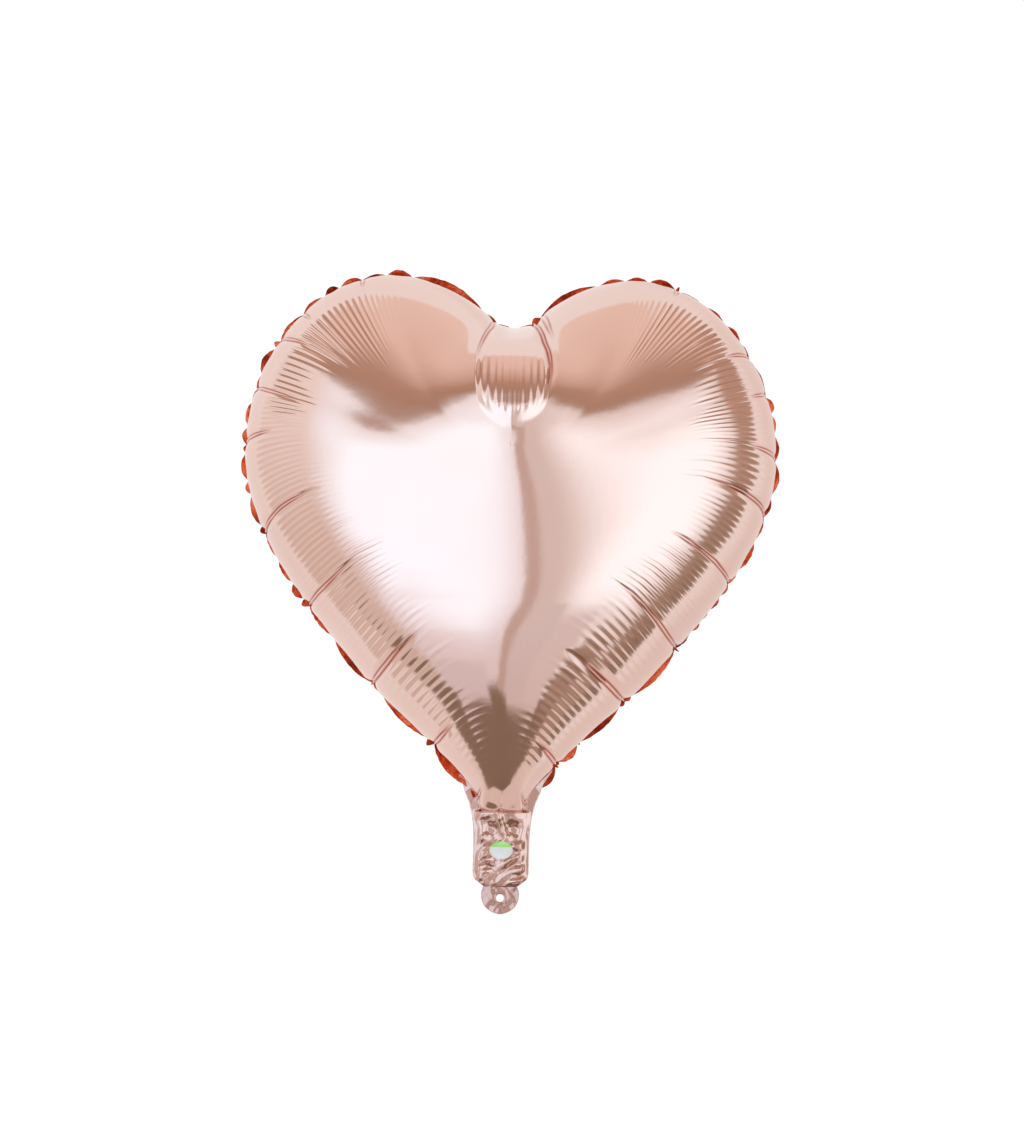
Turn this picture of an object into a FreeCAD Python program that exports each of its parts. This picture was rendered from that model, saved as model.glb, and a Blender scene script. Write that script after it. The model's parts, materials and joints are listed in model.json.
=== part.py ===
"""Heart-shaped foil balloon, inflated, with its filling tail and hanging tab.

Two sheets of metallised film are welded together round a heart-shaped line and swell into
two domes. Below the heart the same two sheets run on as a narrow filling tail and end in a
small welded tab with a hanging hole. A flat valve of two soft films is caught in the neck.

Axes: +Z up, the front faces -Y, and the hanging hole's centre is the origin. Millimetres.
"""
import FreeCAD, Part
import math
import os

V = FreeCAD.Vector

# --- film and weld -------------------------------------------------------------------------
ply = 0.3              # one foil ply where it lies flat (thicker than the real film)
dome_wall = 0.5        # one foil ply where it swells into a dome (thicker than the real film)
weld_width = 4.0       # flat welded margin outside the heart
fold_gap = 0.6         # room left at a crease, so that a folded ply clears its neighbour

# --- heart, measured on the weld line --------------------------------------------------------
heart_width = 356.0    # across the lobes
heart_top = 416.5      # top of both lobes
lobe_apart = 164.0     # between the tops of the two lobes
cleft_drop = 37.5      # how far the notch between the lobes lies below their tops
cleft_round = 12.0     # half the flat stretch at the bottom of the notch
widest_height = 298.0  # height of the widest place
tip_height = 62.0      # lowest point of the weld line
tip_half_width = 21.0  # half the heart's width where its flanks turn into the tip
tip_rise = 18.0        # height of that place above the lowest point
flank_out = 101.0      # a point half-way down the flank: distance from the middle
flank_height = 157.0   # and its height
belly_height = 275.0   # height of the fullest place of the domes
belly_depth = 95.0     # how far each dome stands out from the weld plane

# --- tail and tab ------------------------------------------------------------------------------
neck_height = 57.8     # crease between the heart and the tail
tail_width = 37.6
tail_foot = 7.4        # crease between the tail and the tab
tail_corner = 6.0      # rounding of the tail's lower corners
tail_seal = 4.2        # welded margin down each side of the tail
sleeve_room = 0.9      # depth of the flat passage between the two plies of the tail
sleeve_land = 5.0      # flat ply left above the passage, under the neck crease
tab_width = 25.5
tab_reach = 10.8       # from the hole's centre to the tab's lowest edge
hole_radius = 2.7

# --- valve and label ---------------------------------------------------------------------------
film = 0.25            # one valve film
film_gap = 0.3         # between the two valve films
valve_width = 18.0
valve_length = 46.0
valve_root_gap = 7.0   # from the heart's lowest point up to the root of the valve
label_width = 15.7
label_height = 12.2
label_film = 0.15
label_centre = 32.3    # height of the label's middle on the tail

# --- sizes that follow -------------------------------------------------------------------------
cleft_height = heart_top - cleft_drop
tail_top = neck_height - fold_gap
tail_bottom = tail_foot + fold_gap
tab_top = tail_foot - fold_gap
sleeve_width = tail_width - 2 * tail_seal
tip_side_height = tip_height + tip_rise


def unit(x, z):
    length = math.hypot(x, z)
    return (x / length, z / length)


def bezier(start, start_pull, end_pull, end, count):
    """Points along one curve that leaves start along start_pull and arrives along end_pull."""
    corner_a = (start[0] + start_pull[0], start[1] + start_pull[1])
    corner_b = (end[0] - end_pull[0], end[1] - end_pull[1])
    points = []
    for step in range(count):
        t = step / count
        s = 1 - t
        weights = (s ** 3, 3 * s * s * t, 3 * s * t * t, t ** 3)
        x = sum(w * p[0] for w, p in zip(weights, (start, corner_a, corner_b, end)))
        z = sum(w * p[1] for w, p in zip(weights, (start, corner_a, corner_b, end)))
        points.append((x, z))
    return points


def scaled(direction, length):
    return (direction[0] * length, direction[1] * length)


def half_heart():
    """The right half of the weld line, from the notch round the lobe and down to the tip."""
    along = (1.0, 0.0)
    down = (0.0, -1.0)
    inward = (-1.0, 0.0)
    half = heart_width / 2
    flank_slope = unit(tip_half_width - flank_out, tip_side_height - flank_height)
    tip_slope = unit(-0.6, -0.8)
    lobe = (lobe_apart / 2, heart_top)
    widest = (half, widest_height)
    flank = (flank_out, flank_height)
    tip_side = (tip_half_width, tip_side_height)
    lobe_run = half - lobe[0]
    lobe_fall = heart_top - widest_height
    side_fall = widest_height - flank_height
    flank_run = math.dist(flank, tip_side)
    points = bezier((0.0, cleft_height), scaled(along, cleft_round),
                    scaled(along, 0.63 * lobe[0]), lobe, 8)
    points += bezier(lobe, scaled(along, 0.52 * lobe_run), scaled(down, 0.53 * lobe_fall), widest, 9)
    points += bezier(widest, scaled(down, 0.40 * side_fall),
                     scaled(flank_slope, 0.32 * side_fall), flank, 9)
    points += bezier(flank, scaled(flank_slope, 0.28 * flank_run),
                     scaled(tip_slope, 0.20 * flank_run), tip_side, 6)
    points += bezier(tip_side, scaled(tip_slope, 0.6 * tip_rise),
                     scaled(inward, 0.4 * tip_half_width), (0.0, tip_height), 5)
    points.append((0.0, tip_height))
    return points


def shifted(points, outward):
    """The same half outline moved outward by a constant distance (inward if negative)."""
    moved = []
    last = len(points) - 1
    for index, (x, z) in enumerate(points):
        if index in (0, last):
            moved.append((x, z + (outward if index == 0 else -outward)))
            continue
        before = points[index - 1]
        after = points[index + 1]
        tangent = unit(after[0] - before[0], after[1] - before[1])
        moved.append((x - tangent[1] * outward, z + tangent[0] * outward))
    return moved


def closed_line(half_points):
    """A smooth closed spline through a half outline and its mirror image."""
    left = [(-x, z) for x, z in half_points[-2:0:-1]]
    curve = Part.BSplineCurve()
    curve.interpolate(Points=[V(x, 0, z) for x, z in half_points + left], PeriodicFlag=True)
    return curve


def dome(line, depth, start_depth, side):
    """A dome over a closed line: the line shrinks to one point as it rises to the full depth."""
    profile = ((1.0, 0.0), (1.0, 0.13), (0.96, 0.37), (0.82, 0.68), (0.55, 0.90), (0.25, 1.0), (0.0, 1.0))
    poles = []
    for pole in line.getPoles():
        row = []
        for share, rise in profile:
            x = pole.x * share
            z = belly_height + (pole.z - belly_height) * share
            row.append(V(x, side * (start_depth + (depth - start_depth) * rise), z))
        poles.append(row)
    surface = Part.BSplineSurface()
    surface.buildFromPolesMultsKnots(poles, line.getMultiplicities(), [4, 1, 1, 1, 4],
                                     line.getKnots(), [0, 1, 2, 3, 4], True, False, 3, 3)
    return surface.toShape()


def rim_of(face, height):
    """The edge of a dome that lies in the plane y = height."""
    for edge in face.Edges:
        box = edge.BoundBox
        if box.YLength < 1e-4 and abs(box.YMin - height) < 1e-4 and box.XLength > heart_width / 2:
            return edge
    raise RuntimeError("the dome has no rim at this height")


def margin_outline(y):
    """The outer edge of the welded margin: round the heart, then down the neck to its crease."""
    tail_half = tail_width / 2
    margin = shifted(half_heart(), weld_width)
    kept = [p for p in margin if p[1] > tip_side_height + tip_rise or p[0] > flank_out]
    start = kept[-1]
    slope = unit(start[0] - kept[-2][0], start[1] - kept[-2][1])
    run = math.dist(start, (tail_half, neck_height))
    neck = bezier(start, scaled(slope, 0.42 * run), scaled(unit(-0.25, -1.0), 0.36 * run),
                  (tail_half, neck_height), 5)
    half = kept + neck[1:] + [(tail_half, neck_height)]
    points = [(-x, z) for x, z in half[:0:-1]] + half
    spline = Part.BSplineCurve()
    spline.interpolate([V(x, y, z) for x, z in points])
    crease = Part.makeLine(V(tail_half, y, neck_height), V(-tail_half, y, neck_height))
    return Part.Wire([spline.toShape(), crease])


def panel(side):
    """One foil ply of the heart: a thin hollow dome and the flat welded margin round it."""
    outer = dome(closed_line(half_heart()), belly_depth, ply, side)
    inner = dome(closed_line(shifted(half_heart(), -dome_wall)), belly_depth - dome_wall, 0.0, side)
    outer_rim = Part.Wire([rim_of(outer, side * ply)])
    inner_rim = Part.Wire([rim_of(inner, 0.0)])
    face_edge = margin_outline(side * ply)
    weld_edge = margin_outline(0.0)
    margin_face = Part.makeFace([face_edge, outer_rim], "Part::FaceMakerBullseye")
    weld_face = Part.makeFace([weld_edge, inner_rim], "Part::FaceMakerBullseye")
    margin_side = weld_edge.extrude(V(0, side * ply, 0))
    shell = Part.Shell([outer, inner, margin_face, weld_face] + margin_side.Faces)
    shell.sewShape()
    solid = Part.Solid(Part.Shell(shell.Faces))
    if solid.Volume < 0:
        solid.reverse()
    return solid


def box(x0, x1, y0, y1, z0, z1):
    return Part.makeBox(x1 - x0, y1 - y0, z1 - z0, V(x0, y0, z0))


def tail_sheet(y0, y1, width, bottom, top, corner):
    """A flat strip with its two lower corners rounded."""
    strip = box(-width / 2, width / 2, y0, y1, bottom, top)
    corners = [e for e in strip.Edges
               if e.BoundBox.YLength > (y1 - y0) / 2 and abs(e.BoundBox.ZMin - bottom) < 1e-6
               and e.BoundBox.ZLength < 1e-6]
    upright = [e for e in corners if e.BoundBox.XLength < 1e-6]
    return strip.makeFillet(corner, upright)


def tail_front():
    """The front ply of the tail, raised into a flat passage that is open at its foot."""
    sheet = tail_sheet(-ply, 0.0, tail_width, tail_bottom, tail_top, tail_corner)
    half = sleeve_width / 2
    passage_top = tail_top - sleeve_land
    cover = box(-half - ply, half + ply, -sleeve_room - ply, -ply, tail_bottom, passage_top + ply)
    passage = box(-half, half, -sleeve_room, 0.0, tail_bottom - ply, passage_top)
    return sheet.fuse(cover).cut(passage).removeSplitter()


def tail_back():
    return tail_sheet(0.0, ply, tail_width, tail_bottom, tail_top, tail_corner)


def tab():
    """Both plies welded into one round-ended tab, with the hanging hole through it."""
    half = tab_width / 2
    round_centre = half - tab_reach
    body = box(-half, half, -ply, ply, round_centre, tab_top)
    below = box(-half, half, -ply, ply, -tab_reach, round_centre)
    end = Part.makeCylinder(half, 2 * ply, V(0, -ply, round_centre), V(0, 1, 0)).common(below)
    hole = Part.makeCylinder(hole_radius, 4 * ply, V(0, -2 * ply, 0), V(0, 1, 0))
    return body.fuse(end).cut(hole).removeSplitter()


def valve_film(side):
    """One soft film of the valve, standing in the neck with its free end inside the heart."""
    near = film_gap / 2
    far = near + film
    y0, y1 = sorted((side * near, side * far))
    root = tip_height + valve_root_gap
    return box(-valve_width / 2, valve_width / 2, y0, y1, root, root + valve_length)


def label():
    """An oval paper label stuck to the front of the tail."""
    face_y = -sleeve_room - ply
    oval = Part.Ellipse(V(0, 0, 0), label_width / 2, label_height / 2)
    sheet = Part.Face(Part.Wire([oval.toShape()])).extrude(V(0, 0, label_film))
    sheet.rotate(V(0, 0, 0), V(1, 0, 0), 90)
    sheet.translate(V(0, face_y, label_centre))
    return sheet


FRONT = -1
BACK = 1
pieces = {
    "front_panel": panel(FRONT),
    "back_panel": panel(BACK),
    "valve_front_film": valve_film(FRONT),
    "valve_back_film": valve_film(BACK),
    "tail_front_ply": tail_front(),
    "tail_back_ply": tail_back(),
    "label_sticker": label(),
    "hang_tab": tab(),
}

os.makedirs("parts", exist_ok=True)
for name, shape in pieces.items():
    if not shape.isValid() or shape.Volume <= 0:
        raise RuntimeError(name + " is not a sound solid")
    shape.exportStep(os.path.join("parts", name + ".step"))
    size = shape.BoundBox
    print(name, round(shape.Volume, 1), "mm3", [round(v, 1) for v in
          (size.XMin, size.XMax, size.YMin, size.YMax, size.ZMin, size.ZMax)])
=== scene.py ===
import json
import math
import bpy
import numpy as np
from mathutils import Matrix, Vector
from mathutils.bvhtree import BVHTree
from mathutils.geometry import delaunay_2d_cdt
from mathutils.interpolate import poly_3d_calc


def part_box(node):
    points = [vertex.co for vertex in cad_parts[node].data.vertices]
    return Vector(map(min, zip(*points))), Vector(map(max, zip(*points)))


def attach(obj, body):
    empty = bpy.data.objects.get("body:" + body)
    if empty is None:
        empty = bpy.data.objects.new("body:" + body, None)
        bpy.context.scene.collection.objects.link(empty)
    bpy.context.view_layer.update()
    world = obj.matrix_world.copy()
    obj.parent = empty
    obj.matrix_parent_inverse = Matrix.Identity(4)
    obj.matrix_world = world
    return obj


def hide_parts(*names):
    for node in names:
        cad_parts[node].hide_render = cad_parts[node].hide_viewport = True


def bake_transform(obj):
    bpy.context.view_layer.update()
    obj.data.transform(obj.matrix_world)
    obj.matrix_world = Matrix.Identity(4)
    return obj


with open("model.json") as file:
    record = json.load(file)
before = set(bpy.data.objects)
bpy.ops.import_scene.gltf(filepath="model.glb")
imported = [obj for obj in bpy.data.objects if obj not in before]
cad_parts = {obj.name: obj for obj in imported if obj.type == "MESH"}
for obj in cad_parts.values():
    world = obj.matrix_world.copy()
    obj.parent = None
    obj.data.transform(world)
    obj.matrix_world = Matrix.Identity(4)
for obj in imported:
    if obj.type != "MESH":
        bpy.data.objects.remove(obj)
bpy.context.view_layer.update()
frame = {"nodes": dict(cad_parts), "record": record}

# ------------------------------------------------------------------------------------------
# The studio: a plain pale floor far below, a white sweep all round, two big soft boxes in
# front, and a warm dim room in front of the balloon that only its mirror finish can show.
# ------------------------------------------------------------------------------------------

MM = 0.001


def linear(hex_colour):
    """An sRGB hex colour as linear red, green, blue and alpha."""
    channels = []
    for place in (0, 2, 4):
        value = int(hex_colour.lstrip("#")[place:place + 2], 16) / 255
        channels.append(value / 12.92 if value <= 0.04045 else ((value + 0.055) / 1.055) ** 2.4)
    return (*channels, 1.0)


def add_node(tree, kind, links=(), **settings):
    """Adds one node. Settings name its sockets or its own values; links are (socket, output)."""
    node = tree.nodes.new(kind)
    for name, value in settings.items():
        socket = node.inputs.get(name.replace("_", " ").title().replace("Ior", "IOR"))
        if socket is not None:
            socket.default_value = value
        else:
            setattr(node, name, value)
    for socket, output in links:
        tree.links.new(output, node.inputs[socket])
    return node


def new_material(name):
    material = bpy.data.materials.new(name)
    material.use_nodes = True
    tree = material.node_tree
    tree.nodes.clear()
    return material, tree


def fill_ramp(node, stops):
    """Sets a colour ramp's stops from (place, linear colour) pairs."""
    ramp = node.color_ramp
    while len(ramp.elements) < len(stops):
        ramp.elements.new(0.5)
    for element, (place, colour) in zip(ramp.elements, stops):
        element.position = place
        element.color = colour


def plain_faces(faces):
    """Faces as tuples of plain whole numbers."""
    return [tuple(int(corner) for corner in face) for face in faces]


def mesh_object(name, points, faces, material=None):
    """A smooth-shaded object in the scene, made of these points and faces."""
    mesh = bpy.data.meshes.new(name)
    mesh.from_pydata([tuple(float(c) for c in p) for p in points], [], plain_faces(faces))
    mesh.polygons.foreach_set("use_smooth", [True] * len(mesh.polygons))
    mesh.update()
    piece = bpy.data.objects.new(name, mesh)
    bpy.context.scene.collection.objects.link(piece)
    if material is not None:
        mesh.materials.append(material)
    return piece


# the room is centred on the heart, at this share of its height
middle_share = 0.62
middle = Vector((0.0, 0.0, middle_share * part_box("front_panel")[1].z))

scene = bpy.context.scene
scene.view_settings.view_transform = "Standard"
sweep_brightness = 1.04
world = bpy.data.worlds.new("white_sweep")
world.use_nodes = True
scene.world = world
sky = world.node_tree.nodes["Background"]
sky.inputs["Color"].default_value = linear("#ffffff")
sky.inputs["Strength"].default_value = sweep_brightness

# matt white emulsion on board: its roller stipple, 3 mm across, is too fine to see from here
stipple_pitch = 3.33
painted, tree = new_material("matt_white_floor_paint")
stipple = add_node(tree, "ShaderNodeTexNoise", scale=1 / (stipple_pitch * MM), detail=2.0)
bump = add_node(tree, "ShaderNodeBump", [("Height", stipple.outputs["Fac"])],
                strength=0.05, distance=0.5 * MM)
paint = add_node(tree, "ShaderNodeBsdfPrincipled", [("Normal", bump.outputs["Normal"])],
                 base_color=linear("#ffffff"), roughness=0.9)
add_node(tree, "ShaderNodeOutputMaterial", [("Surface", paint.outputs["BSDF"])])
floor_drop = 0.30
floor_half = 6.0
corners = [(-floor_half, -floor_half, -floor_drop), (floor_half, -floor_half, -floor_drop),
           (floor_half, floor_half, -floor_drop), (-floor_half, floor_half, -floor_drop)]
floor = mesh_object("studio_floor", corners, [(0, 1, 2, 3)], painted)
floor.visible_glossy = False


# The room as the balloon's mirror finish sees it: a white sweep behind, two tall soft boxes in
# front with a gap between them where the camera stands, beige and brown walls, a dark floor.
# Each patch: azimuth from, to (0 is the camera's side, 90 the right), elevation from, to,
# softness of its sides in degrees, colour at its bottom and top, and how bright it is.
room_patches = [
    (-180, -108, -62, 50, 24, "#f6efec", "#fffdfc", 1.0),
    (108, 180, -62, 50, 24, "#efe5e0", "#f8f2ef", 1.0),
    (-180, 180, -90, -56, 16, "#e6d8d0", "#efe3dd", 1.0),
    (-180, -171, -50, 8, 6, "#b7a398", "#c6b5ac", 1.0),
    (171, 180, -50, 8, 6, "#b7a398", "#c6b5ac", 1.0),
    (-101, 101, 57, 90, 5, "#f0d9cd", "#fbe9df", 1.0),
    (-106, 104, 42, 62, 3, "#c4a390", "#f0d8cc", 1.0),
    (-106, 104, 29, 45, 3, "#ae8f7b", "#c6a592", 1.0),
    (-107, -55, -50, 31, 4, "#dccabf", "#fffbf9", 1.0),
    (75, 97, -55, 32, 3, "#93806f", "#cdb0a0", 1.0),
    (-84, 66, -90, -52, 5, "#8a7568", "#94806f", 1.0),
    (50, 84, -58, -44, 4, "#ab9384", "#bba596", 1.0),
    (-61, -1, -53, 29, 9, "#e6e2e8", "#eeecf1", 1.12),
    (-59, -12, -60, -47, 4, "#e6dfe2", "#e6e2e8", 1.0),
    (-56, -5, -34, 24, 26, "#dcefff", "#dcf2ff", 1.75),
    (5, 76, -43, 31, 4, "#eae5e3", "#eee8e6", 0.97),
    (26, 70, -38, 24, 26, "#e4f0f8", "#e6f1f9", 1.72),
    (8, 46, -60, -40, 4, "#e6dcda", "#e8e3e4", 1.0),
    (4, 26, -57, -33, 3, "#dfd7d8", "#e8e3e4", 1.0),
    (-1, 6, -56, 31, 2, "#cfbdb5", "#d8c8c1", 1.0)]


def patch_share(value, low, high, soft):
    """How much of a patch is seen at one angle: 1 inside, 0 outside, soft at its sides."""
    share = np.clip((value - low) / soft + 0.5, 0, 1) * np.clip((high - value) / soft + 0.5, 0, 1)
    return share * share * (3 - 2 * share)


def room_mesh():
    """A sphere round the balloon with the brightness of the room painted on its corners."""
    radius = 2.2
    step = 1.5      # degrees between corners
    azimuths = np.radians(np.arange(-180, 180, step))
    elevations = np.radians(np.arange(-90, 90 + step / 2, step))
    elevation, azimuth = np.meshgrid(elevations, azimuths, indexing="ij")
    places = np.stack([np.sin(azimuth) * np.cos(elevation), -np.cos(azimuth) * np.cos(elevation),
                       np.sin(elevation)], -1).reshape(-1, 3) * radius
    glow = np.ones((places.shape[0], 3))
    across, above = np.degrees(azimuth).ravel(), np.degrees(elevation).ravel()
    for left, right, low, high, soft, bottom_colour, top_colour, strength in room_patches:
        if right - left < 360:
            part = patch_share(across, left, right, soft)
        else:
            part = np.ones(len(across))
        part = (part * patch_share(above, low, high, soft))[:, None]
        up = np.clip((above - low) / (high - low), 0, 1)[:, None]
        colour = np.array(linear(bottom_colour)[:3]) * (1 - up) + np.array(linear(top_colour)[:3]) * up
        glow = glow * (1 - part) + colour * strength * part
    rows, columns = elevation.shape
    index = np.arange(rows * columns).reshape(rows, columns)
    after = np.roll(index, -1, 1)
    faces = np.stack([index[:-1], after[:-1], after[1:], index[1:]], -1).reshape(-1, 4)
    return places, faces, glow


wall, tree = new_material("painted_studio_walls")
painted_light = add_node(tree, "ShaderNodeAttribute", attribute_name="glow")
light = add_node(tree, "ShaderNodeEmission", [("Color", painted_light.outputs["Color"])], strength=1.0)
add_node(tree, "ShaderNodeOutputMaterial", [("Surface", light.outputs["Emission"])])
places, faces, glow = room_mesh()
room = mesh_object("studio_room", places, faces, wall)
painting = room.data.attributes.new("glow", "FLOAT_COLOR", "POINT")
painting.data.foreach_set("color", np.column_stack([glow, np.ones(len(glow))]).astype(np.float32).ravel())
room.location = middle
room.visible_camera = False
room.visible_diffuse = False
room.visible_transmission = False
room.visible_shadow = False


def soft_box(name, place, width, height, radiance, tint):
    """A soft box that faces the balloon; its reflection is the painted one."""
    light = bpy.data.lights.new(name, "AREA")
    light.shape = "RECTANGLE"
    light.size = width
    light.size_y = height
    light.color = linear(tint)[:3]
    light.energy = radiance * math.pi * width * height
    lamp = bpy.data.objects.new(name, light)
    scene.collection.objects.link(lamp)
    lamp.location = place
    lamp.rotation_euler = (middle - Vector(place)).to_track_quat("-Z", "Y").to_euler()
    lamp.visible_camera = False
    lamp.visible_glossy = False


soft_box("left_soft_box", (-1.1, -1.4, 0.3), 1.6, 2.0, 0.5, "#fffdfc")
soft_box("right_soft_box", (1.2, -1.3, 0.3), 1.6, 2.0, 0.35, "#fff9f6")

camera_data = bpy.data.cameras.new("camera")
camera = bpy.data.objects.new("camera", camera_data)
scene.collection.objects.link(camera)
camera_distance = 2.6
camera_side = 0.0026
camera_level = 0.2253
camera_roll = -1.4
frame_height = 0.757
sensor_width = 36.0
camera_data.sensor_width = sensor_width
camera_data.lens = sensor_width * camera_distance / frame_height
camera.location = (camera_side, -camera_distance, camera_level)
camera.rotation_euler = (math.pi / 2, math.radians(camera_roll), 0.0)
scene.camera = camera

# ------------------------------------------------------------------------------------------
# The heart's foil: two sheets of nylon film, metallised and lacquered rose gold, cut flat,
# heat-welded round the edge and blown up. The flat cut is inflated here as cloth that can't
# stretch but can shorten freely, which is what gives such a balloon its shape.
# ------------------------------------------------------------------------------------------


def bezier(start, start_pull, end_pull, end, count):
    """Points along one curve that leaves start along start_pull and arrives along end_pull."""
    t = np.linspace(0, 1, count, endpoint=False)[:, None]
    a = np.array(start, float)
    b = a + np.array(start_pull, float)
    d = np.array(end, float)
    c = d - np.array(end_pull, float)
    return (1 - t) ** 3 * a + 3 * (1 - t) ** 2 * t * b + 3 * (1 - t) * t * t * c + t ** 3 * d


# the right half of the flat cut in millimetres, from the notch round the lobe to the neck
notch = (0, 350)
lobe = (84, 369)
widest = (222, 217)
flank = (142, 45)
shoulder = (62, -26)
neck = (22, -58)
neck_foot = (21, -63)
cut = np.vstack([
    bezier(notch, (9, 0), (42, 2), lobe, 24),
    bezier(lobe, (66, -3), (0, -82), widest, 32),
    bezier(widest, (0, -66), (-42, -42), flank, 28),
    bezier(flank, (-34, -34), (-30, -29), shoulder, 16),
    bezier(shoulder, (-22, -20), (-4, -14), neck, 10),
    bezier(neck, (0, -2), (0, -2), neck_foot, 2),
    bezier(neck_foot, (-8, 0), (-8, 0), (0, -63), 4),
    [(0, -63)]])


def run_length(line):
    """How far along a line each of its points lies."""
    return np.concatenate([[0.0], np.cumsum(np.linalg.norm(np.diff(line, axis=0), axis=1))])


def points_along(line, runs):
    """The points this far along a line."""
    run = run_length(line)
    return np.stack([np.interp(runs, run, line[:, axis]) for axis in range(line.shape[1])], 1)


def even_points(line, count):
    """The same line as count evenly spaced points."""
    return points_along(line, np.linspace(0, run_length(line)[-1], count))


def unit(vectors):
    """The same directions, each one long."""
    return vectors / np.maximum(np.linalg.norm(vectors, axis=-1, keepdims=True), 1e-9)


def inside(points, loop):
    """Which points lie inside a closed loop."""
    x, z = points[:, 0], points[:, 1]
    hit = np.zeros(len(points), bool)
    for (x1, z1), (x2, z2) in zip(loop, np.roll(loop, -1, 0)):
        crosses = (z1 > z) != (z2 > z)
        hit ^= crosses & (x < (x2 - x1) * (z - z1) / (z2 - z1 + 1e-12) + x1)
    return hit


def nearest_distance(points, loop):
    """How far each point is from the nearest point of a loop, worked out a few hundred at a time."""
    at_a_time = 400
    parts = np.array_split(points, 1 + len(points) // at_a_time)
    return np.concatenate([np.min(np.linalg.norm(part[:, None] - loop[None], axis=2), axis=1)
                           for part in parts])


def triangulate(points, edges=()):
    """Delaunay triangles over flat points, all wound the same way."""
    made = delaunay_2d_cdt([Vector(p) for p in points], list(edges), [], 1 if edges else 0, 1e-6)
    triangles = np.array([tuple(f) for f in made[2]])
    corners = np.array([tuple(v) for v in made[0]])
    a, b, c = (corners[triangles[:, i]] for i in range(3))
    turned = (b[:, 0] - a[:, 0]) * (c[:, 1] - a[:, 1]) - (c[:, 0] - a[:, 0]) * (b[:, 1] - a[:, 1]) < 0
    triangles[turned] = triangles[turned][:, ::-1]
    return corners, triangles


def made_shape(piece):
    """Corner places and faces that a piece's modifiers make; the piece itself is then removed."""
    made = piece.evaluated_get(bpy.context.evaluated_depsgraph_get()).data
    places = np.zeros(len(made.vertices) * 3, np.float32)
    made.vertices.foreach_get("co", places)
    faces = [tuple(face.vertices) for face in made.polygons]
    spent = piece.data
    bpy.data.objects.remove(piece)
    bpy.data.meshes.remove(spent)
    return places.reshape(-1, 3).astype(float), faces


def inflate():
    """Blows up the flat cut: its flat places, its triangles and the front sheet's blown places."""
    edge = 6.0              # mm between the cloth's corners
    cloth_scale = 0.01      # the cloth is blown up at this scale, where the solver is steady
    margin_width = 6.0      # mm of welded film outside the weld, which holds the rim as it gathers
    clearance = 0.62        # of an edge, between the rim and the first corners inside it
    unevenness = 0.04       # of an edge, so that the corners follow no straight rows
    start_rise = 0.3        # mm at 1 mm from the rim, so that the sheets start apart
    start_reach = 30        # mm from the rim, beyond which they start no further apart
    last_frame = 15         # enough for the sheets to come to rest
    half_count = int(round(run_length(cut)[-1] / edge))
    right = even_points(cut, half_count + 1)
    loop = np.vstack([right, right[-2:0:-1] * (-1, 1)])
    n = len(loop)
    low, high = loop.min(0), loop.max(0)
    rows = np.arange(low[1], high[1], edge * math.sqrt(3) / 2)
    grid = np.array([(x, z) for k, z in enumerate(rows)
                     for x in np.arange(low[0] + edge / 2 * (k % 2), high[0], edge)])
    grid = grid[inside(grid, loop)]
    grid = grid[nearest_distance(grid, loop) > clearance * edge]
    grid += np.random.default_rng(3).normal(0, unevenness * edge, grid.shape)
    flat, triangles = triangulate(np.vstack([loop, grid]), [(i, (i + 1) % n) for i in range(n)])
    count = len(flat)
    rise = start_rise * np.sqrt(np.minimum(nearest_distance(flat, loop), start_reach))
    rise[:n] = 0
    front = np.stack([flat[:, 0], -rise, flat[:, 1]], 1)
    back = np.stack([flat[n:, 0], rise[n:], flat[n:, 1]], 1)
    to_back = np.concatenate([np.arange(n), np.arange(count, 2 * count - n)])
    along = unit(np.roll(loop, -1, 0) - np.roll(loop, 1, 0))
    outward = np.stack([-along[:, 1], along[:, 0]], 1)
    outer = loop + outward * margin_width
    margin = np.stack([outer[:, 0], np.zeros(n), outer[:, 1]], 1)
    points = np.vstack([front, back, margin])
    first = len(points) - n
    faces = [*triangles, *to_back[triangles][:, ::-1]]
    for i in range(n):
        j = (i + 1) % n
        faces += [(i, first + i, first + j), (i, first + j, j)]
    sheet = mesh_object("sheets_on_the_bench", points * cloth_scale, faces)
    cloth = sheet.modifiers.new("filling", "CLOTH")
    settings = cloth.settings
    settings.quality = 8
    settings.mass = 0.05
    settings.air_damping = 2.0
    settings.tension_stiffness = 80
    settings.compression_stiffness = 0
    settings.shear_stiffness = 40
    settings.bending_stiffness = 0.05
    settings.tension_damping = 10
    settings.compression_damping = 10
    settings.shear_damping = 10
    settings.bending_damping = 0.1
    settings.use_pressure = True
    settings.uniform_pressure_force = 6
    settings.effector_weights.gravity = 0
    cloth.collision_settings.use_collision = False
    scene.frame_start = 1
    scene.frame_end = last_frame
    cloth.point_cache.frame_end = last_frame
    for step in range(1, last_frame + 1):
        scene.frame_set(step)
    places = made_shape(sheet)[0] / cloth_scale
    scene.frame_set(1)
    front_places = places[:count] - np.array([0, places[:n, 1].mean(), 0])
    return flat, triangles, front_places


def finer(points, faces, levels):
    """Corner places and faces of a mesh after subdivision into a smooth surface."""
    piece = mesh_object("finer", points, faces)
    smooth = piece.modifiers.new("smooth", "SUBSURF")
    smooth.levels = levels
    return made_shape(piece)


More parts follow.
